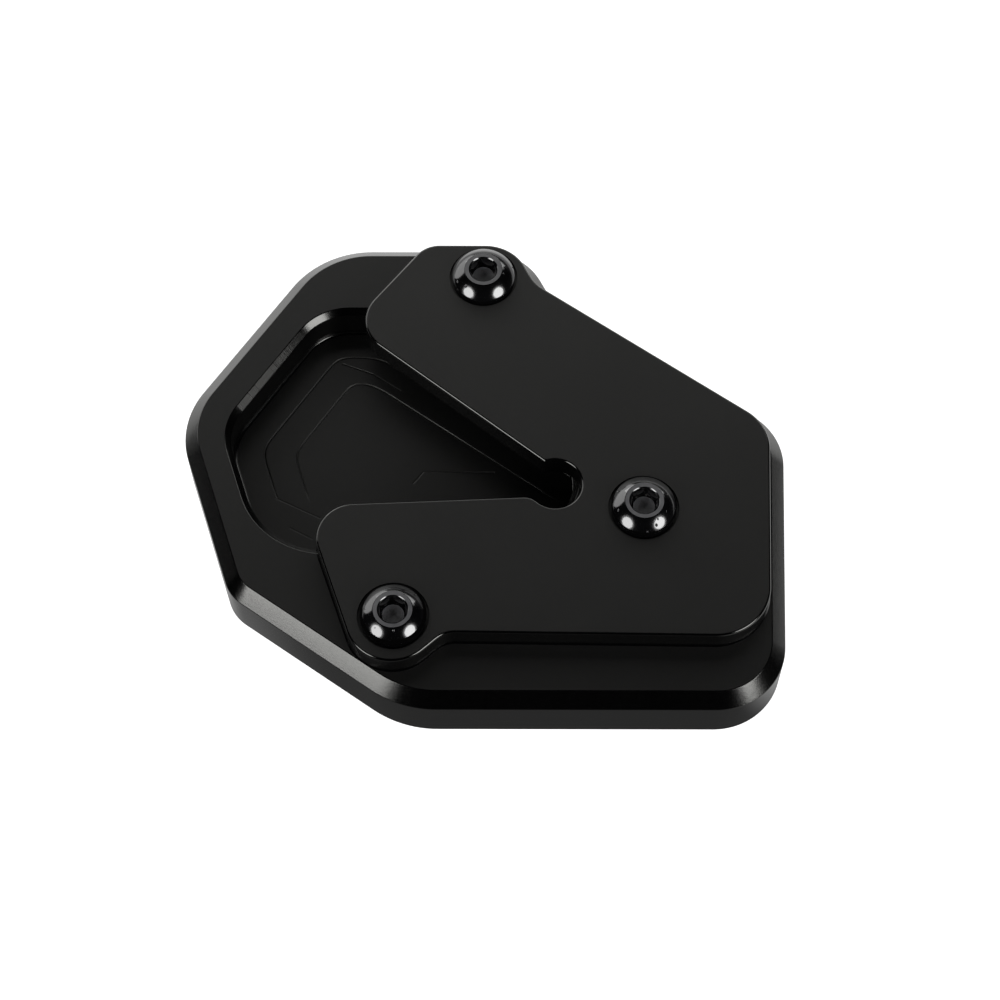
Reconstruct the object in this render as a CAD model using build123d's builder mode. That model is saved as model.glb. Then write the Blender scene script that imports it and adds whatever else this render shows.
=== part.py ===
"""Kickstand foot enlarger: a pocketed base plate, a fork-shaped clamp plate and three button head screws.

Millimetres, +Z up. The origin lies under the middle of the object, on the ground. The mouth of the
notch, where the leg of the stand comes in, faces -X.

Every straight side of a plate is written as the heading of its outward normal in degrees and its
distance from the origin. The corners are where neighbouring sides cross.
"""
from build123d import *
from math import cos, radians, sin, sqrt
import os

# Base plate
base_height = 11.0
base_chamfer = 2.3
base_bottom_break = 0.3
base_front = 42.5
base_left_front = 42.2
base_left = 45.9
base_left_back = 47.1
base_left_front_heading = 235.0
base_left_heading = 198.2
base_left_back_heading = 145.9
front_right_radius = 11.3
back_left_radius = 16.3
left_back_radius = 14.7
left_front_radius = 7.5
front_left_radius = 18.0

# Clamp plate, which stands on the base plate with its edges just inside the base's chamfer
clamp_height = 4.0
clamp_top_round = 0.45
clamp_bottom_break = 0.2
edge_land = 0.55
back_land = 0.25
clamp_back = 40.0
clamp_slant = 31.4
clamp_right = 46.7
clamp_front = 32.05
slant_heading = 54.8
right_heading = -2.5
front_heading = -90.7
clamp_slant_radius = 8.0
clamp_front_radius = 9.0
upper_arm_back_radius = 5.0
upper_arm_tip_radius = 6.6
lower_arm_tip_radius = 6.0

# Rounded bosses of the two arms, each round its screw
shoulder_heading = 27.0
shoulder_reach = 7.3
shoulder_radius = 7.5
shoulder_blend = 6.0
boss_radius = 7.5
boss_shoulder_heading = -48.2
boss_blend = 4.5
lower_arm_end_heading = 199.2
lower_arm_end_reach = 7.75
upper_arm_end_heading = 141.7
upper_arm_end_reach = 11.8

# Notch for the leg of the stand, with a round relief at its inner end
relief_x = 11.65
relief_y = -5.75
relief_radius = 4.3
notch_half_gap = 2.1
notch_upper_heading = 51.5
notch_lower_heading = -87.4
notch_throat_radius = 3.0

# Pocket for the foot of the stand, at its upright wall
pocket_depth = 6.5
pocket_rim_chamfer = 1.0
pocket_floor_fillet = 0.5
pocket_left_land = 4.1
pocket_left_back_land = 4.8
pocket_back = 28.8
pocket_slant = 14.0
pocket_slant_heading = 54.5
pocket_front = 15.5
pocket_front_left_radius = 14.0
pocket_left_radius = 9.0
pocket_back_radius = 9.0
pocket_slant_radius = 11.0
pocket_end_radius = 14.5

# Screws: M6 button heads with hexagon sockets
screw_diameter = 5.9
screw_length = 12.0
screw_tip_chamfer = 0.6
head_diameter = 10.5
head_height = 3.3
head_rim_height = 1.5
head_flat_diameter = 6.2
socket_width = 4.0
socket_depth = 2.1
socket_cone_depth = 0.6
socket_mouth_diameter = 4.95
socket_lead_depth = 0.9
seat_depth = 0.8
seat_clearance = 0.45
clearance_hole = 6.6
thread_clearance = 0.1
thread_lead = 0.5

# Screw places, measured in from the edges that they hold down
upper_screw_from_back = 6.5
upper_screw_from_slant = 4.1
lower_screw_from_front = 2.7
lower_screw_x = -14.0
heel_screw_from_right = 20.4
heel_screw_y = -10.05
socket_turns = {"screw_upper_arm": 12.0, "screw_heel": -8.0, "screw_lower_arm": 4.0}


def normal(heading):
    """Unit vector of a heading in degrees."""
    return cos(radians(heading)), sin(radians(heading))


def reach(heading, point):
    """How far a point lies from the origin along a heading."""
    nx, ny = normal(heading)
    return nx * point[0] + ny * point[1]


def crossing(side_a, side_b):
    """Point where two sides, each (heading, distance), cross."""
    ax, ay = normal(side_a[0])
    bx, by = normal(side_b[0])
    turn = ax * by - ay * bx
    return (side_a[1] * by - side_b[1] * ay) / turn, (ax * side_b[1] - bx * side_a[1]) / turn


def corners(sides):
    """Corners of an outline, each between a side and the next one."""
    return [crossing(side, sides[(i + 1) % len(sides)]) for i, side in enumerate(sides)]


# Screw axes
upper_screw = crossing(
    (90.0, clamp_back - upper_screw_from_back),
    (slant_heading, clamp_slant - upper_screw_from_slant),
)
lower_screw = crossing(
    (180.0, -lower_screw_x),
    (front_heading, clamp_front - lower_screw_from_front),
)
heel_screw = crossing(
    (right_heading, clamp_right - heel_screw_from_right),
    (90.0, heel_screw_y),
)
screw_axes = {
    "screw_upper_arm": upper_screw,
    "screw_heel": heel_screw,
    "screw_lower_arm": lower_screw,
}

# Sides of the clamp plate, anticlockwise from its right edge
right_side = (right_heading, clamp_right)
slant_side = (slant_heading, clamp_slant)
shoulder_side = (shoulder_heading, reach(shoulder_heading, upper_screw) + shoulder_reach)
back_side = (90.0, clamp_back)
upper_arm_end = (
    upper_arm_end_heading,
    reach(upper_arm_end_heading, upper_screw) + upper_arm_end_reach,
)
lower_arm_end = (
    lower_arm_end_heading,
    reach(lower_arm_end_heading, lower_screw) + lower_arm_end_reach,
)
boss_shoulder = (
    boss_shoulder_heading,
    reach(boss_shoulder_heading, lower_screw) + boss_radius,
)
front_side = (front_heading, clamp_front)
clamp_sides = [
    right_side,
    slant_side,
    shoulder_side,
    back_side,
    upper_arm_end,
    lower_arm_end,
    boss_shoulder,
    front_side,
]
clamp_radii = [
    clamp_slant_radius,
    shoulder_blend,
    shoulder_radius,
    upper_arm_back_radius,
    0.0,
    boss_radius,
    boss_blend,
    clamp_front_radius,
]

# Sides of the notch
relief_centre = (relief_x, relief_y)
notch_upper = (
    notch_upper_heading,
    reach(notch_upper_heading, relief_centre) + notch_half_gap,
)
notch_lower = (
    notch_lower_heading,
    reach(notch_lower_heading, relief_centre) + notch_half_gap,
)
mouth_side = (180.0, base_left)
relief_top = (notch_upper_heading - 90.0, reach(notch_upper_heading - 90.0, relief_centre))
relief_bottom = (notch_lower_heading + 90.0, reach(notch_lower_heading + 90.0, relief_centre))

# Sides of the base plate: behind and to the right they follow the clamp plate
base_inset = edge_land + base_chamfer
base_sides = [
    (right_heading, clamp_right + base_inset),
    (slant_heading, clamp_slant + base_inset),
    (shoulder_heading, shoulder_side[1] + base_inset),
    (90.0, clamp_back + back_land + base_chamfer),
    (base_left_back_heading, base_left_back),
    (base_left_heading, base_left),
    (base_left_front_heading, base_left_front),
    (-90.0, base_front),
]
base_radii = [
    clamp_slant_radius + base_inset,
    shoulder_blend - base_inset,
    shoulder_radius + base_inset,
    back_left_radius,
    left_back_radius,
    left_front_radius,
    front_left_radius,
    front_right_radius,
]

# Sides of the pocket's wall
rim_inset = base_chamfer + pocket_rim_chamfer
pocket_sides = [
    (pocket_slant_heading, pocket_slant),
    (90.0, pocket_back),
    (base_left_back_heading, base_left_back - rim_inset - pocket_left_back_land),
    (base_left_heading, base_left - rim_inset - pocket_left_land),
    (-90.0, pocket_front),
]
pocket_radii = [
    pocket_slant_radius,
    pocket_back_radius,
    pocket_left_radius,
    pocket_front_left_radius,
    pocket_end_radius,
]

# Base plate
with BuildPart() as base_plate:
    with BuildSketch() as base_outline:
        with BuildLine():
            FilletPolyline(corners(base_sides), radius=base_radii, close=True)
        make_face()
    extrude(amount=base_height)
    chamfer(base_plate.faces().sort_by(Axis.Z)[-1].edges(), length=base_chamfer)
    chamfer(base_plate.faces().sort_by(Axis.Z)[0].edges(), length=base_bottom_break)
    with BuildSketch(Plane.XY.offset(base_height)) as pocket_outline:
        with BuildLine():
            FilletPolyline(corners(pocket_sides), radius=pocket_radii, close=True)
        make_face()
    extrude(amount=-pocket_depth, mode=Mode.SUBTRACT)
    level_faces = base_plate.faces().filter_by(Plane.XY).sort_by(Axis.Z)
    pocket_floor = level_faces[1]
    pocket_rim = level_faces[-1].inner_wires()[0]
    chamfer(pocket_rim.edges(), length=pocket_rim_chamfer)
    fillet(pocket_floor.edges(), radius=pocket_floor_fillet)
    with BuildSketch() as thread_holes:
        with Locations(*screw_axes.values()):
            Circle(radius=screw_diameter / 2 + thread_clearance / 2)
    extrude(amount=base_height, mode=Mode.SUBTRACT)
    chamfer(
        base_plate.faces().sort_by(Axis.Z)[0].inner_wires().edges(),
        length=thread_lead,
    )
base_plate.part.label = "base_plate"

# Clamp plate
with BuildPart() as clamp_plate:
    with BuildSketch(Plane.XY.offset(base_height)) as clamp_outline:
        with BuildLine():
            FilletPolyline(corners(clamp_sides), radius=clamp_radii, close=True)
        make_face()
        with BuildLine():
            Polyline(
                crossing(mouth_side, notch_upper),
                crossing(mouth_side, notch_lower),
                crossing(relief_bottom, notch_lower),
                relief_centre,
                crossing(relief_top, notch_upper),
                close=True,
            )
        make_face(mode=Mode.SUBTRACT)
        with Locations(relief_centre):
            Circle(radius=relief_radius, mode=Mode.SUBTRACT)
        for tip, tip_radius in (
            (crossing(upper_arm_end, notch_upper), upper_arm_tip_radius),
            (crossing(lower_arm_end, notch_lower), lower_arm_tip_radius),
        ):
            fillet(clamp_outline.vertices().sort_by_distance(tip)[0], radius=tip_radius)
        relief_span = sqrt(relief_radius**2 - notch_half_gap**2)
        throat = crossing(notch_lower, (relief_bottom[0], relief_bottom[1] - relief_span))
        fillet(
            clamp_outline.vertices().sort_by_distance(throat)[0],
            radius=notch_throat_radius,
        )
    extrude(amount=clamp_height)
    fillet(clamp_plate.faces().sort_by(Axis.Z)[-1].edges(), radius=clamp_top_round)
    chamfer(clamp_plate.faces().sort_by(Axis.Z)[0].edges(), length=clamp_bottom_break)
    with Locations(
        *[(x, y, base_height + clamp_height) for x, y in screw_axes.values()]
    ):
        CounterBoreHole(
            radius=clearance_hole / 2,
            counter_bore_radius=head_diameter / 2 + seat_clearance,
            counter_bore_depth=seat_depth,
        )
clamp_plate.part.label = "clamp_plate"

os.makedirs("parts", exist_ok=True)
export_step(base_plate.part, "parts/base_plate.step")
export_step(clamp_plate.part, "parts/clamp_plate.step")

# Screws, each with its head on the floor of its seat
for screw_name, (screw_x, screw_y) in screw_axes.items():
    seat = Plane(origin=(screw_x, screw_y, base_height + clamp_height - seat_depth))
    profile_plane = Plane(origin=seat.origin, x_dir=(1, 0, 0), z_dir=(0, -1, 0))
    with BuildPart() as screw:
        with BuildSketch(profile_plane) as screw_profile:
            with BuildLine():
                Polyline(
                    (head_flat_diameter / 2, head_height),
                    (0, head_height),
                    (0, -screw_length),
                    (screw_diameter / 2 - screw_tip_chamfer, -screw_length),
                    (screw_diameter / 2, -screw_length + screw_tip_chamfer),
                    (screw_diameter / 2, 0),
                    (head_diameter / 2, 0),
                    (head_diameter / 2, head_rim_height),
                )
                dome_drop = head_height - head_rim_height
                dome_step = (head_diameter**2 - head_flat_diameter**2) / 4
                dome_centre = head_rim_height - (dome_step - dome_drop**2) / (2 * dome_drop)
                dome_radius = sqrt((head_diameter / 2) ** 2 + (head_rim_height - dome_centre) ** 2)
                RadiusArc(
                    (head_diameter / 2, head_rim_height),
                    (head_flat_diameter / 2, head_height),
                    -dome_radius,
                )
            make_face()
        revolve(axis=Axis(seat.origin, (0, 0, 1)))
        with BuildSketch(seat.offset(head_height)) as socket:
            RegularPolygon(
                radius=socket_width / 2,
                side_count=6,
                major_radius=False,
                rotation=socket_turns[screw_name],
            )
        extrude(amount=-socket_depth, mode=Mode.SUBTRACT)
        with Locations(seat.offset(head_height)):
            Cone(
                bottom_radius=socket_width / 2,
                top_radius=socket_mouth_diameter / 2,
                height=socket_lead_depth,
                align=(Align.CENTER, Align.CENTER, Align.MAX),
                mode=Mode.SUBTRACT,
            )
        with Locations(seat.offset(head_height - socket_depth)):
            Cone(
                bottom_radius=0,
                top_radius=socket_width / 2,
                height=socket_cone_depth,
                align=(Align.CENTER, Align.CENTER, Align.MAX),
                mode=Mode.SUBTRACT,
            )
    screw.part.label = screw_name
    export_step(screw.part, f"parts/{screw_name}.step")
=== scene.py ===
"""The looks of a kickstand foot enlarger: black anodised plates, button head screws, a pale studio.

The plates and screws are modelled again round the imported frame, with true arcs, rounded edges and
threads. Lengths are in millimetres and become metres where a mesh is made. A straight side of a
plate is (heading of its outward normal in degrees, distance from the origin), and corners are where
neighbouring sides cross.
"""
from math import atan2, ceil, cos, degrees, hypot, pi, radians, sin, sqrt, tan

import bpy
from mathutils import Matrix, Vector


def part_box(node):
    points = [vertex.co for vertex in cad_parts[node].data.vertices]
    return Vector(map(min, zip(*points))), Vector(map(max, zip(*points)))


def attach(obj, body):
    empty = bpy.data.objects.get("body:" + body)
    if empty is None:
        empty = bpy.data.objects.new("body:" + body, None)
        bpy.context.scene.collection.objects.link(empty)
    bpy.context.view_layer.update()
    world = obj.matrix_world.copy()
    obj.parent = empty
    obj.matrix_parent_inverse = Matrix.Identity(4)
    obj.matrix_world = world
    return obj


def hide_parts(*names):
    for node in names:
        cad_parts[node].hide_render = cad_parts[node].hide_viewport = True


MM = 0.001

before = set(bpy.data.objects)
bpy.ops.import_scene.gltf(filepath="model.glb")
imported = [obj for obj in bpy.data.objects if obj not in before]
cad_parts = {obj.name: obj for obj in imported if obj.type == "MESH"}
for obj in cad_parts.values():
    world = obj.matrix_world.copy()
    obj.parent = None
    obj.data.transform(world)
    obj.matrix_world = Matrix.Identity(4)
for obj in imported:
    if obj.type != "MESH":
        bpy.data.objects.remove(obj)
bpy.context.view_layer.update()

# Heights and places from the frame, in millimetres
base_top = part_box("base_plate")[1].z / MM
clamp_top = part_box("clamp_plate")[1].z / MM
head_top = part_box("screw_heel")[1].z / MM
screw_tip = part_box("screw_heel")[0].z / MM


def middle(node):
    """Centre of a node's box in plan, in millimetres."""
    low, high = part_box(node)
    return (low.x + high.x) / 2 / MM, (low.y + high.y) / 2 / MM


upper_screw = middle("screw_upper_arm")
heel_screw = middle("screw_heel")
lower_screw = middle("screw_lower_arm")
screw_axes = (upper_screw, heel_screw, lower_screw)

# Clamp plate. A straight side is given by its distance from the origin or, at the tips and shoulders
# of the arms, by its reach from the middle of the screw there
clamp_back = 40.0
clamp_slant = 31.4
clamp_right = 46.7
clamp_front = 32.05
slant_heading = 54.8
right_heading = -2.5
front_heading = -90.7
clamp_slant_radius = 8.0
clamp_front_radius = 9.0
upper_arm_back_radius = 5.0
upper_arm_tip_radius = 6.6
lower_arm_tip_radius = 6.0
shoulder_heading = 27.0
shoulder_reach = 7.3
shoulder_radius = 7.5
shoulder_blend = 6.0
boss_radius = 7.5
boss_shoulder_heading = -48.2
boss_blend = 4.5
lower_arm_end_heading = 199.2
lower_arm_end_reach = 7.75
upper_arm_end_heading = 141.7
upper_arm_end_reach = 11.8
clamp_top_round = 0.45
relief_centre = (11.65, -5.75)
relief_radius = 4.3
notch_half_gap = 2.1
notch_upper_heading = 51.5
notch_lower_heading = -87.4
notch_throat_radius = 3.0

# The clamp plate's foot flares out at 45 degrees above a small upright step
clamp_foot = 0.23
clamp_foot_step = 0.08

# Base plate. The lands are the flats left between the clamp plate or the pocket and a bevel
base_chamfer = 2.3
base_bottom_break = 0.3
edge_land = 0.55
back_land = 0.25
base_front = 42.5
base_left_front = 42.2
base_left = 45.9
base_left_back = 47.1
base_left_front_heading = 235.0
base_left_heading = 198.2
base_left_back_heading = 145.9
front_right_radius = 11.3
back_left_radius = 16.3
left_back_radius = 14.7
left_front_radius = 7.5
front_left_radius = 18.0

# Pocket
pocket_depth = 6.5
pocket_rim_chamfer = 1.0
pocket_floor_fillet = 0.5
pocket_left_land = 4.1
pocket_left_back_land = 4.8
pocket_back = 28.8
pocket_slant = 14.0
pocket_slant_heading = 54.5
pocket_front = 15.5
pocket_front_left_radius = 14.0
pocket_left_radius = 9.0
pocket_back_radius = 9.0
pocket_slant_radius = 11.0
pocket_end_radius = 14.5

# Screws
thread_pitch = 1.0
thread_depth = 0.55
thread_flank = 30.0
thread_lip = 0.2
thread_neck = 1.8
shank_radius = 2.95
hole_radius = 3.0
tip_chamfer = 0.6
head_radius = 5.25
head_height = 3.3
head_rim_height = 1.5
head_flat_radius = 3.1
socket_width = 4.0
socket_depth = 2.1
socket_cone_depth = 0.6
socket_mouth_radius = 2.475
socket_lead_depth = 0.9
mouth_break = 0.2
mouth_over = 0.5
lead_tip = 0.4
drill_radius = 1.75
seat_depth = 0.8
seat_clearance = 0.45
clearance_radius = 3.3
thread_lead = 0.5

# How finely round shapes are divided, and how wide sharp edges are rounded
arc_step = 3.0
turned_steps = 96
cutter_steps = 64
thread_steps = 36
dome_steps = 16
fillet_steps = 4
top_round_steps = 6
edge_steps = 2
edge_round = 0.14
screw_edge_round = 0.07

# Angles in degrees: an edge is rounded from the first on, and shading is smooth below the others
rounded_from = 30
smooth_below = 45
thread_smooth_below = 35

# Allowances: vertices that close are one, a cutter stands that far past what it cuts, and a sliver
# keeps it off a face that it would only touch
weld_gap = 0.001
trace_gap = 0.002
overshoot = 1.0
sliver = 0.02


def normal(heading):
    """Unit vector of a heading in degrees."""
    return cos(radians(heading)), sin(radians(heading))


def reach(heading, point):
    """How far a point lies from the origin along a heading."""
    nx, ny = normal(heading)
    return nx * point[0] + ny * point[1]


def crossing(side_a, side_b):
    """Point where two sides cross."""
    ax, ay = normal(side_a[0])
    bx, by = normal(side_b[0])
    turn = ax * by - ay * bx
    return (side_a[1] * by - side_b[1] * ay) / turn, (ax * side_b[1] - bx * side_a[1]) / turn


def moved(side, distance):
    """A side, shifted outwards."""
    return side[0], side[1] + distance


def turned_by(side_a, side_b):
    """Signed angle from one side's heading to the next one's."""
    return (side_b[0] - side_a[0] + 180.0) % 360.0 - 180.0


def foot(side, point):
    """The point on a side that is nearest to another point."""
    gap = side[1] - reach(side[0], point)
    nx, ny = normal(side[0])
    return point[0] + gap * nx, point[1] + gap * ny


def corner(side_a, side_b, radius):
    """Steps of an outline round one corner: a straight run, then an arc."""
    angle = turned_by(side_a, side_b)
    inward = -radius if angle > 0 else radius
    centre = crossing(moved(side_a, inward), moved(side_b, inward))
    return [("line", foot(side_a, centre)), ("arc", centre, angle)]


def rounded(sides, radii, offset=0.0):
    """Steps of a closed outline with each corner rounded, moved outwards by an offset."""
    steps = []
    for i, radius in enumerate(radii):
        after = sides[(i + 1) % len(sides)]
        turn = turned_by(sides[i], after)
        grown = radius + offset if turn > 0 else radius - offset
        steps += corner(moved(sides[i], offset), moved(after, offset), grown)
    return steps


# Outlines, anticlockwise
right_side = (right_heading, clamp_right)
slant_side = (slant_heading, clamp_slant)
shoulder_side = (shoulder_heading, reach(shoulder_heading, upper_screw) + shoulder_reach)
back_side = (90.0, clamp_back)
upper_arm_end = (upper_arm_end_heading, reach(upper_arm_end_heading, upper_screw) + upper_arm_end_reach)
lower_arm_end = (lower_arm_end_heading, reach(lower_arm_end_heading, lower_screw) + lower_arm_end_reach)
boss_shoulder = (boss_shoulder_heading, reach(boss_shoulder_heading, lower_screw) + boss_radius)
front_side = (front_heading, clamp_front)
notch_upper = (
    notch_upper_heading - 180.0,
    -reach(notch_upper_heading, relief_centre) - notch_half_gap,
)
notch_lower = (
    notch_lower_heading + 180.0,
    -reach(notch_lower_heading, relief_centre) - notch_half_gap,
)

base_inset = edge_land + base_chamfer
base_sides = [
    moved(right_side, base_inset),
    moved(slant_side, base_inset),
    moved(shoulder_side, base_inset),
    moved(back_side, back_land + base_chamfer),
    (base_left_back_heading, base_left_back),
    (base_left_heading, base_left),
    (base_left_front_heading, base_left_front),
    (-90.0, base_front),
]
base_radii = [
    clamp_slant_radius + base_inset,
    shoulder_blend - base_inset,
    shoulder_radius + base_inset,
    back_left_radius,
    left_back_radius,
    left_front_radius,
    front_left_radius,
    front_right_radius,
]
rim_inset = base_chamfer + pocket_rim_chamfer
pocket_sides = [
    (pocket_slant_heading, pocket_slant),
    (90.0, pocket_back),
    (base_left_back_heading, base_left_back - rim_inset - pocket_left_back_land),
    (base_left_heading, base_left - rim_inset - pocket_left_land),
    (-90.0, pocket_front),
]
pocket_radii = [
    pocket_slant_radius,
    pocket_back_radius,
    pocket_left_radius,
    pocket_front_left_radius,
    pocket_end_radius,
]


def relief_steps(upper, lower, radius, blend):
    """Steps from the upper side of the notch round the relief and its blend to the lower side."""
    cx, cy = relief_centre
    fx, fy = foot(upper, relief_centre)
    span = sqrt(radius**2 - hypot(fx - cx, fy - cy) ** 2)
    ux, uy = normal(upper[0] + 90.0)
    start = (fx - span * ux, fy - span * uy)
    bx, by = foot(moved(lower, -blend), relief_centre)
    run = sqrt((radius + blend) ** 2 - hypot(bx - cx, by - cy) ** 2)
    lx, ly = normal(lower[0] + 90.0)
    blend_centre = (bx + run * lx, by + run * ly)
    away = degrees(atan2(blend_centre[1] - cy, blend_centre[0] - cx))
    first = degrees(atan2(start[1] - cy, start[0] - cx))
    sweep = (away - first) % 360.0 - 360.0
    blend_turn = (lower[0] - (away + 180.0) + 180.0) % 360.0 - 180.0
    return [
        ("line", start),
        ("arc", relief_centre, sweep),
        ("arc", blend_centre, blend_turn),
    ]


def clamp_steps(grow=0.0):
    """Steps of the clamp plate's outline with its notch, its outer sides moved out by a distance."""
    right = moved(right_side, grow)
    slant = moved(slant_side, grow)
    shoulder = moved(shoulder_side, grow)
    back = moved(back_side, grow)
    upper_end = moved(upper_arm_end, grow)
    lower_end = moved(lower_arm_end, grow)
    boss = moved(boss_shoulder, grow)
    front = moved(front_side, grow)
    return [
        *corner(right, slant, clamp_slant_radius + grow),
        *corner(slant, shoulder, shoulder_blend - grow),
        *corner(shoulder, back, shoulder_radius + grow),
        *corner(back, upper_end, upper_arm_back_radius + grow),
        *corner(upper_end, notch_upper, upper_arm_tip_radius + grow),
        *relief_steps(notch_upper, notch_lower, relief_radius, notch_throat_radius),
        *corner(notch_lower, lower_end, lower_arm_tip_radius + grow),
        *corner(lower_end, boss, boss_radius + grow),
        *corner(boss, front, boss_blend - grow),
        *corner(front, right, clamp_front_radius + grow),
    ]


def swung(point, centre, angle):
    """A point turned about a centre by an angle in degrees."""
    c, s = cos(radians(angle)), sin(radians(angle))
    dx, dy = point[0] - centre[0], point[1] - centre[1]
    return centre[0] + c * dx - s * dy, centre[1] + s * dx + c * dy


def alone(obj):
    """Selects one object only and makes it active."""
    bpy.ops.object.select_all(action="DESELECT")
    obj.select_set(True)
    bpy.context.view_layer.objects.active = obj


def edit(obj):
    """Opens one object alone in edit mode with nothing of it selected."""
    alone(obj)
    bpy.ops.object.mode_set(mode="EDIT")
    bpy.ops.mesh.select_mode(type="VERT")
    bpy.ops.mesh.select_all(action="DESELECT")


def done():
    """Leaves edit mode."""
    bpy.ops.object.mode_set(mode="OBJECT")


def extrude(x, y, z):
    """Extrudes what is selected by a shift in millimetres."""
    bpy.ops.mesh.extrude_region_move(TRANSFORM_OT_translate={"value": (x * MM, y * MM, z * MM)})


def weld(gap=weld_gap):
    """Selects the whole mesh and merges its doubled vertices."""
    bpy.ops.mesh.select_all(action="SELECT")
    bpy.ops.mesh.remove_doubles(threshold=gap * MM)


def face_outwards():
    """Merges doubles and turns every face of the mesh in edit mode outwards."""
    weld()
    bpy.ops.mesh.normals_make_consistent(inside=False)


def start_point(name, point, height):
    """A new object in edit mode, holding one selected vertex."""
    bpy.ops.object.select_all(action="DESELECT")
    bpy.ops.mesh.primitive_plane_add(size=MM)
    obj = bpy.context.object
    obj.name = name
    bpy.ops.object.mode_set(mode="EDIT")
    bpy.ops.mesh.select_mode(type="VERT")
    bpy.ops.mesh.merge(type="CENTER")
    bpy.ops.transform.translate(value=(point[0] * MM, point[1] * MM, height * MM))
    return obj


def trace(name, steps, height):
    """An object in edit mode with one flat selected face inside a traced outline."""
    _, last_centre, last_angle = steps[-1]
    here = swung(steps[-2][1], last_centre, last_angle)
    obj = start_point(name, here, height)
    for step in steps:
        if step[0] == "line":
            there = step[1]
            extrude(there[0] - here[0], there[1] - here[1], 0.0)
            here = there
        else:
            _, centre, angle = step
            bpy.ops.mesh.spin(
                steps=max(2, ceil(abs(angle) / arc_step)),
                angle=radians(-angle),
                center=(centre[0] * MM, centre[1] * MM, height * MM),
                axis=(0, 0, 1),
            )
            here = swung(here, centre, angle)
    weld(trace_gap)
    bpy.ops.mesh.edge_face_add()
    return obj


def pick(obj, wanted):
    """Selects the faces whose centre and normal pass a test, in edit mode."""
    bpy.ops.mesh.select_mode(type="FACE")
    bpy.ops.mesh.select_all(action="DESELECT")
    bpy.ops.object.mode_set(mode="OBJECT")
    for face in obj.data.polygons:
        face.select = bool(wanted(face.center / MM, face.normal))
    bpy.ops.object.mode_set(mode="EDIT")


def level(height, up):
    """A test for the flat faces at one height that look up or down."""
    return lambda centre, out: abs(centre.z - height) < 0.01 and out.z * up > 0.9


def revolved(name, axis, profile, steps):
    """A closed turned solid about an upright axis, from (radius, height) points down its side."""
    obj = start_point(name, (axis[0] + profile[0][0], axis[1]), profile[0][1])
    here = profile[0]
    for radius, height in profile[1:]:
        extrude(radius - here[0], 0.0, height - here[1])
        here = (radius, height)
    bpy.ops.mesh.select_all(action="SELECT")
    bpy.ops.mesh.spin(
        steps=steps,
        angle=2 * pi,
        center=(axis[0] * MM, axis[1] * MM, 0),
        axis=(0, 0, 1),
    )
    weld()
    bpy.ops.mesh.select_non_manifold(extend=False)
    bpy.ops.mesh.select_mode(type="EDGE")
    bpy.ops.mesh.fill_holes(sides=0)
    bpy.ops.mesh.select_mode(type="VERT")
    face_outwards()
    done()
    return obj


def solid_cut(obj, cutter):
    """Cuts one closed piece with another, which is then removed."""
    alone(obj)
    bpy.ops.object.modifier_add(type="BOOLEAN")
    cut = obj.modifiers[-1]
    cut.operation = "DIFFERENCE"
    cut.solver = "EXACT"
    cut.object = cutter
    bpy.ops.object.modifier_apply(modifier=cut.name)
    alone(cutter)
    bpy.ops.object.delete()


def finish_edges(obj, width):
    """Rounds the sharp edges of a piece and keeps its flats flat in the shading."""
    alone(obj)
    bpy.ops.object.modifier_add(type="BEVEL")
    bevel = obj.modifiers[-1]
    bevel.width = width * MM
    bevel.segments = edge_steps
    bevel.limit_method = "ANGLE"
    bevel.angle_limit = radians(rounded_from)
    bpy.ops.object.modifier_apply(modifier=bevel.name)
    bpy.ops.object.shade_smooth_by_angle(angle=radians(smooth_below))
    bpy.ops.object.modifier_add(type="WEIGHTED_NORMAL")
    weighted = obj.modifiers[-1]
    weighted.keep_sharp = True
    weighted.weight = 80
    bpy.ops.object.modifier_apply(modifier=weighted.name)


def hexagon_prism(name, axis, across_flats, turn, low, high):
    """An upright hexagon prism with its flats a stated width apart, turned about its axis."""
    corner_radius = across_flats / 2 / cos(pi / 6)
    bpy.ops.object.select_all(action="DESELECT")
    bpy.ops.mesh.primitive_cylinder_add(
        vertices=6,
        radius=corner_radius * MM,
        depth=(high - low) * MM,
        location=(axis[0] * MM, axis[1] * MM, (high + low) / 2 * MM),
        rotation=(0, 0, radians(turn)),
    )
    obj = bpy.context.object
    obj.name = name
    bpy.ops.object.transform_apply(location=True, rotation=True, scale=True)
    return obj


def slab(name, steps, low, high):
    """A closed upright prism with a traced outline, in edit mode with its faces outwards."""
    obj = trace(name, steps, low)
    extrude(0.0, 0.0, high - low)
    face_outwards()
    return obj


def round_cut(obj, name, axis, profile):
    """Cuts a piece with a turned cutter about a screw's axis."""
    solid_cut(obj, revolved(name, axis, profile, cutter_steps))


# Base plate: outline, bevelled top edge, broken bottom edge, pocket and screw holes
base = slab(
    "base_plate_anodised",
    rounded(base_sides, base_radii),
    base_bottom_break,
    base_top - base_chamfer,
)
pick(base, level(base_top - base_chamfer, 1))
bpy.ops.mesh.inset(thickness=base_chamfer * MM, depth=base_chamfer * MM)
pick(base, level(base_bottom_break, -1))
bpy.ops.mesh.inset(thickness=base_bottom_break * MM, depth=base_bottom_break * MM)
face_outwards()
done()

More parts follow.
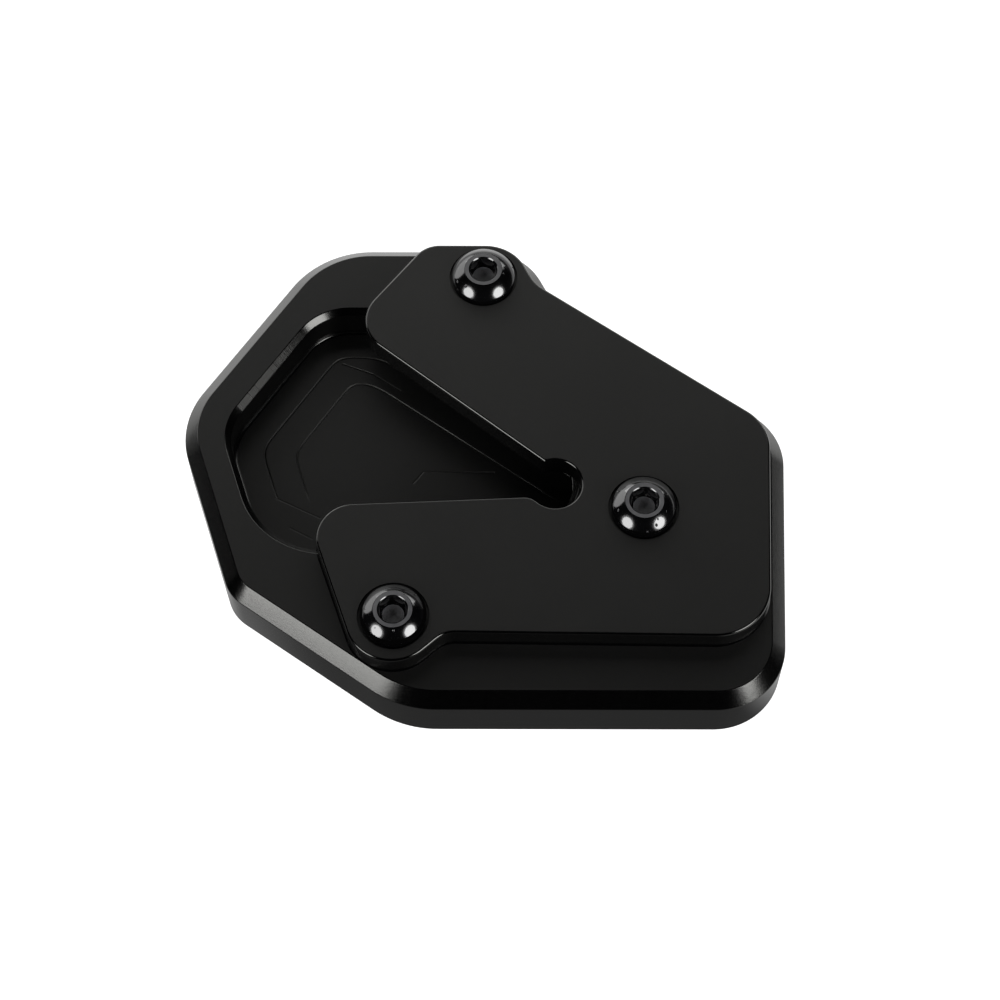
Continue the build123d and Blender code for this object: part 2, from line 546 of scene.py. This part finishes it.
rim_step = pocket_rim_chamfer + overshoot
pocket = slab(
    "pocket_cutter",
    rounded(pocket_sides, pocket_radii, rim_step),
    base_top + overshoot,
    base_top + 2 * overshoot,
)
pick(pocket, level(base_top + overshoot, -1))
bpy.ops.mesh.inset(thickness=rim_step * MM, depth=rim_step * MM)
extrude(0.0, 0.0, pocket_rim_chamfer - pocket_depth)
bpy.ops.mesh.region_to_loop()
bpy.ops.mesh.bevel(offset=pocket_floor_fillet * MM, segments=fillet_steps, affect="EDGES")
face_outwards()
done()
solid_cut(base, pocket)

hole_profile = [
    (hole_radius, base_top + overshoot),
    (hole_radius, thread_lead),
    (hole_radius + thread_lead + overshoot, -overshoot),
]
for axis in screw_axes:
    round_cut(base, "hole_cutter", axis, hole_profile)
finish_edges(base, edge_round)

# Clamp plate: a thin flared foot outside the notch, a rounded top edge and stepped seats
clamp_foot_top = base_top + clamp_foot_step + clamp_foot
clamp = slab("clamp_plate_anodised", clamp_steps(), clamp_foot_top, clamp_top)
pick(clamp, level(clamp_top, 1))
bpy.ops.mesh.region_to_loop()
bpy.ops.mesh.bevel(offset=clamp_top_round * MM, segments=top_round_steps, affect="EDGES")
pick(clamp, level(clamp_foot_top, -1))
bpy.ops.mesh.delete(type="ONLY_FACE")
done()
flare = slab("clamp_flare", clamp_steps(clamp_foot), base_top, base_top + clamp_foot_step)
pick(flare, level(base_top + clamp_foot_step, 1))
bpy.ops.mesh.delete(type="ONLY_FACE")
done()
alone(clamp)
flare.select_set(True)
bpy.ops.object.join()
edit(clamp)
bpy.ops.mesh.select_mode(type="EDGE")
bpy.ops.mesh.select_non_manifold(extend=False)
bpy.ops.mesh.bridge_edge_loops()
face_outwards()
done()

seat_floor = clamp_top - seat_depth
seat_radius = head_radius + seat_clearance
seat_profile = [
    (seat_radius, clamp_top + overshoot),
    (seat_radius, seat_floor),
    (clearance_radius, seat_floor),
    (clearance_radius, base_top - overshoot),
]
for axis in screw_axes:
    round_cut(clamp, "seat_cutter", axis, seat_profile)
finish_edges(clamp, edge_round)

# Screws: heights on them, the same for all three
seat = head_top - head_height
dome_rim = seat + head_rim_height
socket_floor = head_top - socket_depth
drill_point = socket_floor - socket_cone_depth


def dome_profile():
    """Points over the head's dome, from its flat down to the rim, as (radius, height)."""
    drop = head_height - head_rim_height
    spread = head_radius**2 - head_flat_radius**2
    centre_height = head_rim_height - (spread - drop**2) / (2 * drop)
    dome_radius = hypot(head_radius, head_rim_height - centre_height)
    first = atan2(head_height - centre_height, head_flat_radius)
    last = atan2(head_rim_height - centre_height, head_radius)
    points = []
    for i in range(dome_steps + 1):
        angle = first + (last - first) * i / dome_steps
        height = centre_height + dome_radius * sin(angle)
        points.append((dome_radius * cos(angle), seat + height))
    return points


def thread_cutter(axis, low, high):
    """A closed helical V groove round an upright axis, from one height to another."""
    root = shank_radius - thread_depth
    deep = thread_depth + thread_lip
    rise = deep * tan(radians(thread_flank))
    obj = start_point("thread_cutter", (root, 0.0), low)
    extrude(deep, 0.0, rise)
    extrude(0.0, 0.0, -2 * rise)
    extrude(-deep, 0.0, rise)
    weld()
    done()
    bpy.ops.object.modifier_add(type="SCREW")
    helix = obj.modifiers[-1]
    helix.axis = "Z"
    helix.steps = thread_steps
    helix.render_steps = thread_steps
    helix.screw_offset = thread_pitch * MM
    helix.iterations = ceil((high - low) / thread_pitch)
    helix.use_merge_vertices = True
    helix.merge_threshold = weld_gap * MM
    bpy.ops.object.modifier_apply(modifier=helix.name)
    edit(obj)
    bpy.ops.mesh.select_mode(type="EDGE")
    bpy.ops.mesh.select_non_manifold(extend=False)
    bpy.ops.mesh.fill_holes(sides=4)
    face_outwards()
    bpy.ops.transform.translate(value=(axis[0] * MM, axis[1] * MM, 0))
    done()
    return obj


# Turned profiles as (radius, height): the blank, the socket's mouth with the lead cone below it, and
# the drill point
lead_slope = (socket_mouth_radius - socket_width / 2) / socket_lead_depth
blank_profile = [
    *dome_profile(),
    (head_radius, seat),
    (shank_radius, seat),
    (shank_radius, screw_tip + tip_chamfer),
    (shank_radius - tip_chamfer, screw_tip),
]
mouth_profile = [
    (socket_mouth_radius + mouth_over, head_top + mouth_over),
    (socket_mouth_radius - mouth_break, head_top - mouth_break),
    (socket_width / 2 - lead_tip * lead_slope, head_top - socket_lead_depth - lead_tip),
]
drill_profile = [
    (drill_radius, socket_floor + sliver),
    (drill_radius, socket_floor),
    (sliver, drill_point),
]


def button_screw(name, axis, turn):
    """A button head screw with a turned hexagon socket. Its thread is cut last, after the edges."""
    screw = revolved(name, axis, blank_profile, turned_steps)
    socket_top = head_top + overshoot
    solid_cut(screw, hexagon_prism("socket_cutter", axis, socket_width, turn, socket_floor, socket_top))
    round_cut(screw, "mouth_cutter", axis, mouth_profile)
    round_cut(screw, "drill_point_cutter", axis, drill_profile)
    finish_edges(screw, screw_edge_round)
    solid_cut(screw, thread_cutter(axis, screw_tip - overshoot, seat - thread_neck))
    alone(screw)
    bpy.ops.object.shade_smooth_by_angle(angle=radians(thread_smooth_below))
    return screw


# Each socket stands at an angle of its own
screws = [
    button_screw("screw_upper_arm_black", upper_screw, 12.0),
    button_screw("screw_heel_black", heel_screw, -8.0),
    button_screw("screw_lower_arm_black", lower_screw, 4.0),
]


class Sheet:
    """A node tree with short ways to add and join its nodes."""

    def __init__(self, tree):
        self.tree = tree

    def add(self, kind):
        """A new node."""
        return self.tree.nodes.new("ShaderNode" + kind)

    def feed(self, socket, value):
        """Joins a socket to another one, or gives it a number, a vector or a colour."""
        if isinstance(value, bpy.types.NodeSocket):
            self.tree.links.new(value, socket)
        else:
            socket.default_value = value

    def split(self, vector):
        """The X, Y and Z of a vector."""
        node = self.add("SeparateXYZ")
        self.feed(node.inputs[0], vector)
        return node.outputs

    def math(self, operation, *values):
        """One step of arithmetic."""
        node = self.add("Math")
        node.operation = operation
        for socket, value in zip(node.inputs, values):
            self.feed(socket, value)
        return node.outputs[0]

    def vector_math(self, operation, *values, output=0):
        """One step of arithmetic on vectors."""
        node = self.add("VectorMath")
        node.operation = operation
        for socket, value in zip(node.inputs, values):
            self.feed(socket, value)
        return node.outputs[output]

    def step(self, value, low, high, to_low=0.0, to_high=1.0):
        """A smooth step from one level to another."""
        node = self.add("MapRange")
        node.interpolation_type = "SMOOTHSTEP"
        for socket, number in zip(node.inputs, (value, low, high, to_low, to_high)):
            self.feed(socket, number)
        return node.outputs[0]

    def noise(self, vector, scale, detail=2.0, roughness=0.5):
        """Soft noise from 0 to 1."""
        node = self.add("TexNoise")
        self.feed(node.inputs["Vector"], vector)
        self.feed(node.inputs["Scale"], scale)
        self.feed(node.inputs["Detail"], detail)
        self.feed(node.inputs["Roughness"], roughness)
        return node.outputs["Fac"]

    def stroke(self, place, start, end):
        """Distance in plan from a straight stroke."""
        run = (end[0] - start[0], end[1] - start[1], 0.0)
        size = hypot(run[0], run[1])
        away = self.vector_math("SUBTRACT", place, (start[0], start[1], 0.0))
        flat = self.vector_math("MULTIPLY", away, (1.0, 1.0, 0.0))
        share = self.vector_math("DOT_PRODUCT", flat, tuple(c / size**2 for c in run), output=1)
        held = self.math("MINIMUM", self.math("MAXIMUM", share, 0.0), 1.0)
        along = self.vector_math("SCALE", run)
        self.feed(along.node.inputs["Scale"], held)
        return self.vector_math("DISTANCE", flat, along, output=1)

    def blend(self, amount, first, second):
        """A colour between two colours."""
        node = self.add("Mix")
        node.data_type = "RGBA"
        self.feed(node.inputs["Factor"], amount)
        self.feed(node.inputs["A"], first)
        self.feed(node.inputs["B"], second)
        return node.outputs["Result"]

    def shared(self, group, place, **values):
        """Puts a shared effect in with its own values, and gives its outputs."""
        node = self.add("Group")
        node.node_tree = group
        self.feed(node.inputs["Place"], place)
        for label, value in values.items():
            self.feed(node.inputs[label.replace("_", " ")], value)
        return node.outputs

    def bump(self, height, strength, distance, under=None):
        """A bump from a height, laid over another one."""
        node = self.add("Bump")
        self.feed(node.inputs["Strength"], strength)
        self.feed(node.inputs["Distance"], distance)
        self.feed(node.inputs["Height"], height)
        if under is not None:
            self.feed(node.inputs["Normal"], under)
        return node.outputs["Normal"]


def make_material(name):
    """A new material, its sheet and its Principled shader."""
    material = bpy.data.materials.new(name)
    material.use_nodes = True
    return material, Sheet(material.node_tree), material.node_tree.nodes["Principled BSDF"]


def effect(name, inputs, outputs):
    """A shared node group with named sockets, and its sheet, entry and exit."""
    group = bpy.data.node_groups.new(name, "ShaderNodeTree")
    kinds = {"value": "NodeSocketFloat", "vector": "NodeSocketVector", "colour": "NodeSocketColor"}
    for label, kind, start in inputs:
        socket = group.interface.new_socket(label, in_out="INPUT", socket_type=kinds[kind])
        if start is not None:
            socket.default_value = start
    for label, kind in outputs:
        group.interface.new_socket(label, in_out="OUTPUT", socket_type=kinds[kind])
    entry = group.nodes.new("NodeGroupInput")
    leave = group.nodes.new("NodeGroupOutput")
    return group, Sheet(group), entry.outputs, leave.inputs


def build_dyed_tone():
    """A dark colour that varies a little, as dye takes unevenly, with slow changes of roughness."""
    group, sheet, given, made = effect(
        "dyed_tone",
        [
            ("Place", "vector", None),
            ("Dark", "colour", (0.002, 0.002, 0.0022, 1)),
            ("Pale", "colour", (0.004, 0.004, 0.0042, 1)),
            ("Even Roughness", "value", 0.4),
            ("Spread", "value", 0.04),
        ],
        [("Colour", "colour"), ("Roughness", "value")],
    )
    broad = sheet.noise(given["Place"], scale=60.0, detail=3.0)
    fine = sheet.noise(given["Place"], scale=900.0)
    mixed = sheet.math("MULTIPLY_ADD", fine, 0.35, sheet.math("MULTIPLY", broad, 0.65))
    share = sheet.step(mixed, 0.3, 0.7)
    sheet.feed(made["Colour"], sheet.blend(share, given["Dark"], given["Pale"]))
    swing = sheet.math("SUBTRACT", mixed, 0.5)
    roughness = sheet.math("MULTIPLY_ADD", swing, given["Spread"], given["Even Roughness"])
    sheet.feed(made["Roughness"], roughness)
    return group


def build_blasted_grain():
    """The fine even grain of a blasted surface, as a height."""
    group, sheet, given, made = effect(
        "blasted_grain",
        [("Place", "vector", None), ("Scale", "value", 9000.0)],
        [("Height", "value")],
    )
    fine = sheet.noise(given["Place"], given["Scale"], roughness=0.6)
    coarse_scale = sheet.math("MULTIPLY", given["Scale"], 0.3)
    coarse = sheet.noise(given["Place"], coarse_scale, detail=1.0)
    sheet.feed(made["Height"], sheet.math("MULTIPLY_ADD", coarse, 0.5, fine))
    return group


def build_cutter_lay():
    """Fine level lines left by the side of a milling cutter, as a height and streaks."""
    group, sheet, given, made = effect(
        "cutter_lay",
        [("Place", "vector", None), ("Pitch", "value", 9000.0)],
        [("Height", "value"), ("Streak", "value")],
    )
    squeezed = sheet.vector_math("MULTIPLY", given["Place"], (0.03, 0.03, 1.0))
    lines = sheet.noise(squeezed, given["Pitch"], detail=3.0, roughness=0.7)
    sheet.feed(made["Height"], lines)
    sheet.feed(made["Streak"], sheet.step(lines, 0.35, 0.65))
    return group


def build_feed_marks():
    """Marks that a bevelling cutter leaves across an edge as it is fed along, as height and streaks."""
    group, sheet, given, made = effect(
        "feed_marks",
        [("Place", "vector", None), ("Facing", "vector", None), ("Pitch", "value", 5000.0)],
        [("Height", "value"), ("Streak", "value")],
    )
    sideways = sheet.vector_math("MULTIPLY", given["Facing"], (1.0, 1.0, 0.0))
    outward = sheet.vector_math("NORMALIZE", sideways)
    along_edge = sheet.vector_math("CROSS_PRODUCT", (0.0, 0.0, 1.0), outward)
    run = sheet.vector_math("DOT_PRODUCT", given["Place"], along_edge, output=1)
    facing = sheet.split(outward)
    turn = sheet.math("ARCTAN2", facing["Y"], facing["X"])
    joined = sheet.add("CombineXYZ")
    sheet.feed(joined.inputs["X"], run)
    sheet.feed(joined.inputs["Y"], sheet.math("MULTIPLY", turn, 0.01))
    lines = sheet.noise(joined.outputs[0], given["Pitch"], detail=3.0, roughness=0.65)
    sheet.feed(made["Height"], lines)
    sheet.feed(made["Streak"], sheet.step(lines, 0.3, 0.7))
    return group


# Lines that the cutter left on the pocket floor, in plan: (steps in from the wall, strength, Y where
# the line ends, how softly) for those that run round, and (start, end, strength) for straight ones
contour_lines = ((1.0, 1.0, -3.3, 0.3), (2.0, 0.7, -4.5, 3.5))
straight_lines = (
    ((-11.7, -0.4), (-10.0, 1.8), 0.5),
    ((-10.0, 1.8), (1.7, 1.7), 0.6),
    ((-24.2, 22.6), (-19.0, 20.6), 0.35),
    ((-19.0, 20.6), (-14.3, 17.4), 0.2),
    ((-34.5, -3.2), (-27.0, -6.9), 0.35),
    ((-31.9, -8.7), (-28.2, -10.7), 0.25),
)


def build_cutter_path():
    """The lines between the passes of a pocket's cutter, as a mask and a height."""
    group, sheet, given, made = effect(
        "cutter_path",
        [("Place", "vector", None), ("Step", "value", 4.95), ("Width", "value", 0.22)],
        [("Line", "value"), ("Height", "value")],
    )
    place = sheet.vector_math("SCALE", given["Place"])
    sheet.feed(place.node.inputs["Scale"], 1.0 / MM)
    deepest = None
    for heading, far in pocket_sides:
        nx, ny = normal(heading)
        along = sheet.vector_math("DOT_PRODUCT", place, (nx, ny, 0.0), output=1)
        past = sheet.math("SUBTRACT", along, far)
        deepest = past if deepest is None else sheet.math("SMOOTH_MAX", deepest, past, 3.0)
    along_y = sheet.vector_math("DOT_PRODUCT", place, (0.0, 1.0, 0.0), output=1)
    lines = None
    for count, strength, end, fade in contour_lines:
        gap = sheet.math("ABSOLUTE", sheet.math("MULTIPLY_ADD", given["Step"], count, deepest))
        line = sheet.step(gap, 0.0, given["Width"], strength, 0.0)
        line = sheet.math("MULTIPLY", line, sheet.step(along_y, end, end + fade))
        lines = line if lines is None else sheet.math("MAXIMUM", lines, line)
    for start, end, strength in straight_lines:
        gap = sheet.stroke(place, start, end)
        lines = sheet.math("MAXIMUM", lines, sheet.step(gap, 0.0, given["Width"], strength, 0.0))
    patches = sheet.noise(given["Place"], scale=45.0, detail=1.0)
    broken = sheet.step(patches, 0.36, 0.5, 0.25, 1.0)
    faded = sheet.math("MULTIPLY", lines, broken)
    sheet.feed(made["Line"], faded)
    sheet.feed(made["Height"], sheet.math("SUBTRACT", 1.0, faded))
    return group


def build_knocks():
    """Small sparse nicks in a finish, seen from above, as a mask and a height."""
    group, sheet, given, made = effect(
        "small_knocks",
        [("Place", "vector", None), ("Scale", "value", 700.0), ("Share", "value", 0.12)],
        [("Mask", "value"), ("Height", "value")],
    )
    cells = sheet.add("TexVoronoi")
    cells.voronoi_dimensions = "2D"
    sheet.feed(cells.inputs["Vector"], given["Place"])
    sheet.feed(cells.inputs["Scale"], given["Scale"])
    picked = sheet.add("SeparateColor")
    sheet.feed(picked.inputs[0], cells.outputs["Color"])
    chosen = sheet.math("LESS_THAN", picked.outputs[0], given["Share"])
    size = sheet.math("MULTIPLY_ADD", picked.outputs[1], 0.12, 0.05)
    dent = sheet.step(cells.outputs["Distance"], 0.0, size, 1.0, 0.0)
    mask = sheet.math("MULTIPLY", dent, chosen)
    sheet.feed(made["Mask"], mask)
    sheet.feed(made["Height"], sheet.math("SUBTRACT", 1.0, mask))
    return group


dyed_tone = build_dyed_tone()
blasted_grain = build_blasted_grain()
cutter_lay = build_cutter_lay()
feed_marks = build_feed_marks()
cutter_path = build_cutter_path()
small_knocks = build_knocks()

# How deep the marks look, in metres
fine_relief = 0.00002
knock_relief = 0.00012
path_relief = 0.0003


def anodised(
    name, rough, spread, ior=1.8, grain=None, lay=None, feed=None, path=False, fade=None, pale=0.002
):
    """A dyed dark metal, anodised or blacked, with the marks of one kind of cut under its colour.

    Its roughness varies round one value by a spread, and pale is the lighter of its two shades. The
    grain is (scale, strength), the lay of a wall's cut and the feed marks of an edge's cut are
    (pitch, strength, added roughness), and a fade is (heading, low, high, added roughness), with low
    and high as distances from the origin along the heading.
    """
    material, sheet, shader = make_material(name)
    sheet.feed(shader.inputs["IOR"], ior)
    sheet.feed(shader.inputs["Specular Tint"], (1.0, 1.0, 0.965, 1))
    coordinates = sheet.add("TexCoord").outputs
    place = coordinates["Object"]
    tone = sheet.shared(
        dyed_tone,
        place,
        Dark=(pale * 0.5, pale * 0.5, pale * 0.55, 1),
        Pale=(pale, pale, pale * 1.05, 1),
        Even_Roughness=rough,
        Spread=spread,
    )
    roughness = tone["Roughness"]
    colour = tone["Colour"]
    bump = None
    if grain:
        marks = sheet.shared(blasted_grain, place, Scale=grain[0])
        bump = sheet.bump(marks["Height"], grain[1], fine_relief)
    if lay:
        marks = sheet.shared(cutter_lay, place, Pitch=lay[0])
        bump = sheet.bump(marks["Height"], lay[1], fine_relief, bump)
        roughness = sheet.math("MULTIPLY_ADD", marks["Streak"], lay[2], roughness)
    if feed:
        marks = sheet.shared(feed_marks, place, Facing=coordinates["Normal"], Pitch=feed[0])
        bump = sheet.bump(marks["Height"], feed[1], fine_relief, bump)
        roughness = sheet.math("MULTIPLY_ADD", marks["Streak"], feed[2], roughness)
    if fade:
        along = sheet.vector_math("DOT_PRODUCT", place, (*normal(fade[0]), 0.0), output=1)
        worn = sheet.step(along, fade[1] * MM, fade[2] * MM, 0.0, fade[3])
        roughness = sheet.math("ADD", roughness, worn)
    if path:
        marks = sheet.shared(cutter_path, place)
        bump = sheet.bump(marks["Height"], 1.0, path_relief, bump)
        colour = sheet.blend(marks["Line"], colour, (0.0006, 0.0006, 0.0006, 1))
        roughness = sheet.math("MULTIPLY_ADD", marks["Line"], 0.4, roughness)
    sheet.feed(shader.inputs["Base Color"], colour)
    sheet.feed(shader.inputs["Roughness"], roughness)
    if bump is not None:
        sheet.feed(shader.inputs["Normal"], bump)
    return material


def blacked_steel(name):
    """Glossy black screw steel with a few small knocks."""
    material, sheet, shader = make_material(name)
    sheet.feed(shader.inputs["IOR"], 2.3)
    place = sheet.add("TexCoord").outputs["Object"]
    tone = sheet.shared(
        dyed_tone,
        place,
        Dark=(0.002, 0.002, 0.0023, 1),
        Pale=(0.005, 0.005, 0.0056, 1),
        Even_Roughness=0.11,
        Spread=0.05,
    )
    knocks = sheet.shared(small_knocks, place, Scale=650.0, Share=0.2)
    grain = sheet.shared(blasted_grain, place, Scale=5000.0)
    bump = sheet.bump(knocks["Height"], 1.0, knock_relief)
    bump = sheet.bump(grain["Height"], 0.04, fine_relief, bump)
    roughness = sheet.math("MULTIPLY_ADD", knocks["Mask"], 0.2, tone["Roughness"])
    sheet.feed(shader.inputs["Base Color"], tone["Colour"])
    sheet.feed(shader.inputs["Roughness"], roughness)
    sheet.feed(shader.inputs["Normal"], bump)
    return material


# The rim of the pocket is brushed along its left back side and gets glossier towards the corner
brush_heading = base_left_back_heading - 90.0
brush_centre = corner(pocket_sides[1], pocket_sides[2], pocket_back_radius)[1][1]
brush_end = reach(brush_heading, brush_centre)

faced = anodised("anodised_faced", rough=0.44, spread=0.05, grain=(9000.0, 0.25))
bevelled = anodised(
    "anodised_bevels",
    rough=0.12,
    spread=0.04,
    grain=(6500.0, 0.35),
    feed=(5000.0, 0.06, 0.05),
)
edged = anodised("anodised_clamp_edge", rough=0.07, spread=0.02)
walled = anodised("anodised_walls", rough=0.22, spread=0.05, lay=(12000.0, 0.03, 0.04))
base_faced = anodised(
    "anodised_base_face",
    rough=0.45,
    spread=0.05,
    ior=1.71,
    grain=(9000.0, 0.25),
)
rimmed = anodised(
    "anodised_pocket_rim",
    rough=0.26,
    spread=0.05,
    grain=(6500.0, 0.5),
    feed=(5500.0, 0.5, 0.14),
    fade=(brush_heading, brush_end - 9.0, brush_end + 2.0, -0.2),
)
floored = anodised(
    "anodised_pocket_floor",
    rough=0.42,
    spread=0.05,
    ior=1.72,
    grain=(7000.0, 0.3),
    path=True,
)

# The screws' steel: the dome, the ring on top painted pale as a sheen, the socket's floor painted pale
# as light caught there, and a dull dark band of painted shade
screwed = blacked_steel("blacked_screw_steel")
# The flat ring on top of each head is painted pale grey as its sheen
ring_sheen = anodised(
    "painted_sheen_head_face",
    rough=0.34,
    spread=0.08,
    ior=2.3,
    grain=(6000.0, 0.5),
    pale=0.17,
)
# The socket's floor is painted pale grey as the light caught at the bottom of the socket
socket_floor_light = anodised("painted_light_socket_floor", rough=0.5, spread=0.1, grain=(2500.0, 1.0), pale=0.3)
# A band of painted shade round each dome's rim: darker, dull and barely reflecting
rim_shade = anodised("painted_shade_head_rim", rough=0.85, spread=0.05, ior=1.1)

# Places of the finishes in a plate's list and in a screw's
FACE, EDGE, WALL, FLOOR, RIM = range(5)
DOME, SOCKET_FLOOR, RING, SHADE_RIM = range(4)

# The upright part of a face's normal is more than this on flats, and less on the pocket's rim and on
# walls. The band of painted shade round a dome lies between two such values
flat_rise = 0.985
rim_rise = 0.9
wall_rise = 0.17
band_rise = (0.5, 0.8)

pocket_floor = base_top - pocket_depth
level_slack = 0.05


def dress(obj, finishes, cut):
    """Gives a piece its materials, and each face the finish of the cut that made it."""
    for material in finishes:
        obj.data.materials.append(material)
    for face in obj.data.polygons:
        face.material_index = cut(face.center / MM, face.normal)


def plate_cut(centre, out):
    """Finish of a plate's face, by its place and normal."""
    if abs(out.z) > flat_rise:
        return FLOOR if abs(centre.z - pocket_floor) < level_slack else FACE
    if abs(out.z) > wall_rise:
        on_rim = centre.x < 0 and pocket_floor + 1.0 < centre.z < base_top - 0.02
        brushed = abs(degrees(atan2(out.y, out.x)) - base_left_back_heading + 180.0) < 1.0
        return RIM if on_rim and brushed and abs(out.z) < rim_rise else EDGE
    return WALL


def screw_cut(shade_band):
    """A test for the finish of a screw's face, with a band of painted shade of some height round the
    dome's rim.
    """

    def cut(centre, out):
        if abs(centre.z - drill_point + sliver) < socket_cone_depth and out.z > 0.5:
            return SOCKET_FLOOR
        if out.z > flat_rise and centre.z > head_top - level_slack:
            return RING
        low = dome_rim - 0.1 < centre.z < dome_rim + shade_band
        return SHADE_RIM if low and band_rise[0] < out.z < band_rise[1] else DOME

    return cut


dress(base, (base_faced, bevelled, walled, floored, rimmed), plate_cut)
dress(clamp, (faced, edged, walled, floored, rimmed), plate_cut)
# How high each screw's band of painted shade reaches above the dome's rim
for screw, shade_band in zip(screws, (0.0, 0.3, 0.57)):
    dress(screw, (screwed, socket_floor_light, ring_sheen, rim_shade), screw_cut(shade_band))

for piece, node, slot in (
    (base, "base_plate", "anodised_base"),
    (clamp, "clamp_plate", "anodised_clamp"),
    (screws[0], "screw_upper_arm", "black_screw"),
    (screws[1], "screw_heel", "black_screw"),
    (screws[2], "screw_lower_arm", "black_screw"),
):
    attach(piece, "root")
    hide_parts(node)

# Floor: white to the camera and plain under the lamps. In reflections it glows as a table with painted
# light behind and to the right of the object, with its bounds in metres, and with painted shade in
# front
floor_size = 6.0
floor_drop = 0.05
painted_table_shade = 0.11
bpy.ops.object.select_all(action="DESELECT")
bpy.ops.mesh.primitive_plane_add(size=floor_size, location=(0, 0, -floor_drop * MM))
floor = bpy.context.object
floor.name = "studio_floor"
material, sheet, shader = make_material("studio_floor_white")
sheet.feed(shader.inputs["Base Color"], (0.8, 0.8, 0.8, 1))
sheet.feed(shader.inputs["Roughness"], 0.9)
sheet.feed(shader.inputs["Specular IOR Level"], 0.0)
path = sheet.add("LightPath").outputs
place = sheet.add("TexCoord").outputs["Object"]
spot = sheet.split(place)
distance = sheet.vector_math("LENGTH", place, output=1)
painted_table_light = sheet.math(
    "MAXIMUM",
    sheet.step(spot["Y"], -0.036, -0.004, painted_table_shade, 1.0),
    sheet.step(spot["X"], 0.043, 0.053, painted_table_shade, 0.78),
)
near = sheet.math(
    "MAXIMUM",
    sheet.step(distance, 0.095, 0.15, 1.0, 0.02),
    sheet.step(spot["Y"], 0.04, 0.12, 0.0, 0.45),
)
seen = sheet.math("MAXIMUM", path["Is Camera Ray"], path["Is Transmission Ray"])
glow = sheet.add("Emission")
sheet.feed(glow.inputs["Strength"], seen)
# In reflections the floor glows with painted light behind the object and painted shade in front of it
mirrored = sheet.add("Emission")
sheet.feed(mirrored.inputs["Strength"], sheet.math("MULTIPLY", painted_table_light, near))
added = sheet.add("AddShader")
sheet.feed(added.inputs[0], shader.outputs[0])
sheet.feed(added.inputs[1], glow.outputs[0])
choice = sheet.add("MixShader")
sheet.feed(choice.inputs[0], path["Is Glossy Ray"])
sheet.feed(choice.inputs[1], added.outputs[0])
sheet.feed(choice.inputs[2], mirrored.outputs[0])
sheet.feed(material.node_tree.nodes["Material Output"].inputs["Surface"], choice.outputs[0])
floor.data.materials.append(material)


# Lamps, at one distance in metres
lamp_distance = 1.2


def softbox(name, heading, elevation, width, height, radiance, round_box=False):
    """A soft lamp aimed at the object, its place and sizes in degrees as seen from it."""
    away = Vector((
        cos(radians(elevation)) * cos(radians(heading)),
        cos(radians(elevation)) * sin(radians(heading)),
        sin(radians(elevation)),
    ))
    bpy.ops.object.select_all(action="DESELECT")
    bpy.ops.object.light_add(type="AREA", location=away * lamp_distance)
    lamp = bpy.context.object
    lamp.name = name
    lamp.rotation_euler = (-away).to_track_quat("-Z", "Y").to_euler()
    lamp.data.shape = "ELLIPSE" if round_box else "RECTANGLE"
    lamp.data.size = 2 * lamp_distance * tan(radians(width / 2))
    lamp.data.size_y = 2 * lamp_distance * tan(radians(height / 2))
    lamp.data.energy = radiance * pi * lamp.data.size * lamp.data.size_y
    if round_box:
        lamp.data.energy *= pi / 4
    lamp.visible_camera = False


# Two round lamps in front, each with a weak glow round it, and wide ones behind and over the object
for side, heading, radiance in (("left", 217, 4.2), ("right", -37, 5.0)):
    softbox(f"softbox_front_{side}", heading, 28, 32, 28, radiance, round_box=True)
    softbox(f"softbox_front_{side}_glow", heading, 28, 41, 36, 0.5, round_box=True)
softbox("softbox_back_left", 132, 14, 60, 44, 1.1, round_box=True)
softbox("softbox_back", 85, 21, 76, 14, 1.4)
softbox("softbox_back_right", 50, 28, 20, 16, 0.8)
softbox("softbox_overhead", 98, 43, 66, 36, 0.32)

# World: white to the camera, even for diffuse light, and for reflections dark but for a white strip
# low behind the object and a dim one low at its right
world = bpy.data.worlds.new("studio_world")
bpy.context.scene.world = world
world.use_nodes = True
room_light = 0.2
sheet = Sheet(world.node_tree)
path = sheet.add("LightPath").outputs
looking = sheet.split(sheet.add("TexCoord").outputs["Generated"])
right_strip = sheet.math(
    "MULTIPLY",
    sheet.step(looking["X"], 0.55, 0.85, 0.005, 0.15),
    sheet.step(looking["Z"], 0.05, 0.3, 1.0, 0.05),
)
back_strip = sheet.math(
    "MULTIPLY",
    sheet.step(looking["Y"], 0.45, 0.8, 0.0, 1.0),
    sheet.step(looking["Z"], 0.1, 0.35, 1.0, 0.0),
)
glossy = path["Is Glossy Ray"]
even = sheet.math("MULTIPLY", sheet.math("SUBTRACT", 1.0, glossy), room_light)
strips = sheet.math("MULTIPLY", glossy, sheet.math("MAXIMUM", right_strip, back_strip))
room = sheet.math("ADD", even, strips)
backdrop = world.node_tree.nodes["Background"]
sheet.feed(backdrop.inputs["Strength"], sheet.math("MAXIMUM", path["Is Camera Ray"], room))

# Camera at the photograph's viewing angle, with a long lens
eye = Vector((2.92, -179.45, 352.17)) * MM
target = Vector((2.747, -1.178, 0.0)) * MM
roll = 0.062
bpy.ops.object.camera_add(location=eye)
camera = bpy.context.object
camera.rotation_euler = (target - eye).to_track_quat("-Z", "Y").to_euler()
camera.rotation_euler.rotate_axis("Z", radians(roll))
camera.data.sensor_width = 36.0
camera.data.lens = 84.47
camera.data.clip_start = 0.01
bpy.context.scene.camera = camera
bpy.context.scene.view_settings.view_transform = "Standard"
